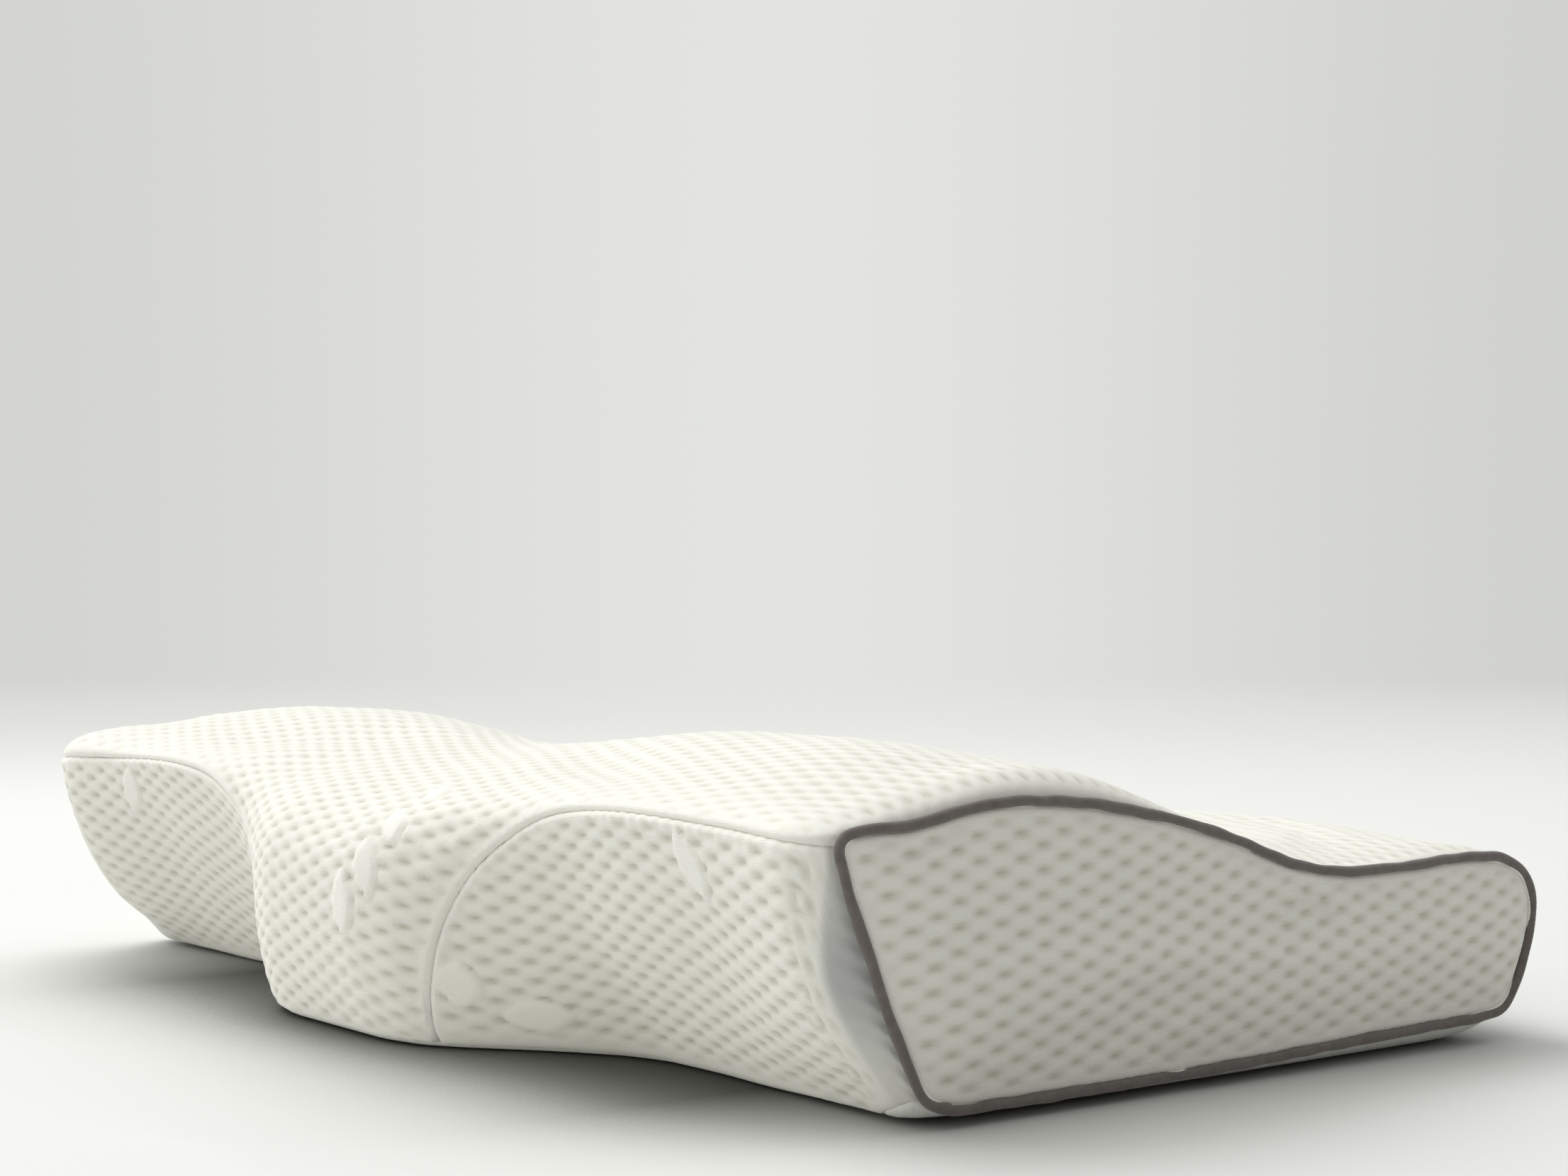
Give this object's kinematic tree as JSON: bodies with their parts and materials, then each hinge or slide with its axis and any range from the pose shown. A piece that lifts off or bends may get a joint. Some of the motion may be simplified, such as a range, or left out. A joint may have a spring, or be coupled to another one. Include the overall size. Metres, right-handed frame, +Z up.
{
  "type": "bed pillow",
  "caption": "Butterfly-shaped contour pillow: memory foam core in a knit liner and a zipped white bubble-knit cover with dark piping round the end panels.",
  "frame": {"origin": "centre of the bounding box on the surface it stands on", "axes": "+X along the length, towards one piped end; +Y from the lobed front (neck) edge to the zipped back face; +Z up"},
  "size_m": [0.597, 0.3645, 0.1146],
  "materials": {
    "cover_knit": "off-white double-faced bubble knit with a diagonal grid of dimples and a satin sheen",
    "base_knit": "plain off-white knit with small grip dots",
    "liner_knit": "fine white jersey",
    "foam": "slow-recovery polyurethane foam, matt, fine open cells",
    "piping": "dark grey bias-cut woven binding",
    "piping_filler": "cotton piping cord",
    "zip_tape": "white woven polyester tape",
    "zip_coil": "white nylon coil",
    "zip_metal": "nickel-plated die cast zinc",
    "zip_stop": "crimped metal"
  },
  "bodies": {
    "cover": {"foam_core": "foam", "liner_lower": "liner_knit", "liner_upper": "liner_knit", "bottom_panel": "base_knit", "front_wing_panel_right": "cover_knit", "front_wing_panel_left": "cover_knit", "back_strip": "cover_knit", "top_panel": "cover_knit", "end_panel_right": "cover_knit", "end_panel_left": "cover_knit", "piping_wrap_right": "piping", "piping_wrap_left": "piping", "piping_filler_right": "piping_filler", "piping_filler_left": "piping_filler", "zipper_tape_upper": "zip_tape", "zipper_tape_lower": "zip_tape", "zipper_coil_upper": "zip_coil", "zipper_coil_lower": "zip_coil", "zipper_top_stops": "zip_stop", "zipper_bottom_stop": "zip_stop"},
    "slider": {"zipper_slider": "zip_metal"},
    "pull_tab": {"zipper_pull_tab": "zip_metal"}
  },
  "joints": [
    {"name": "zipper_slide", "type": "slide", "parent": "cover", "child": "slider", "axis": [1, 0, 0], "range_m": [0, 0.386]},
    {"name": "pull_tab_hinge", "type": "hinge", "parent": "slider", "child": "pull_tab", "pos_m": [-0.193, 0.18051, 0.04], "axis": [0, 0, 1], "range_deg": [0, 180]}
  ]
}
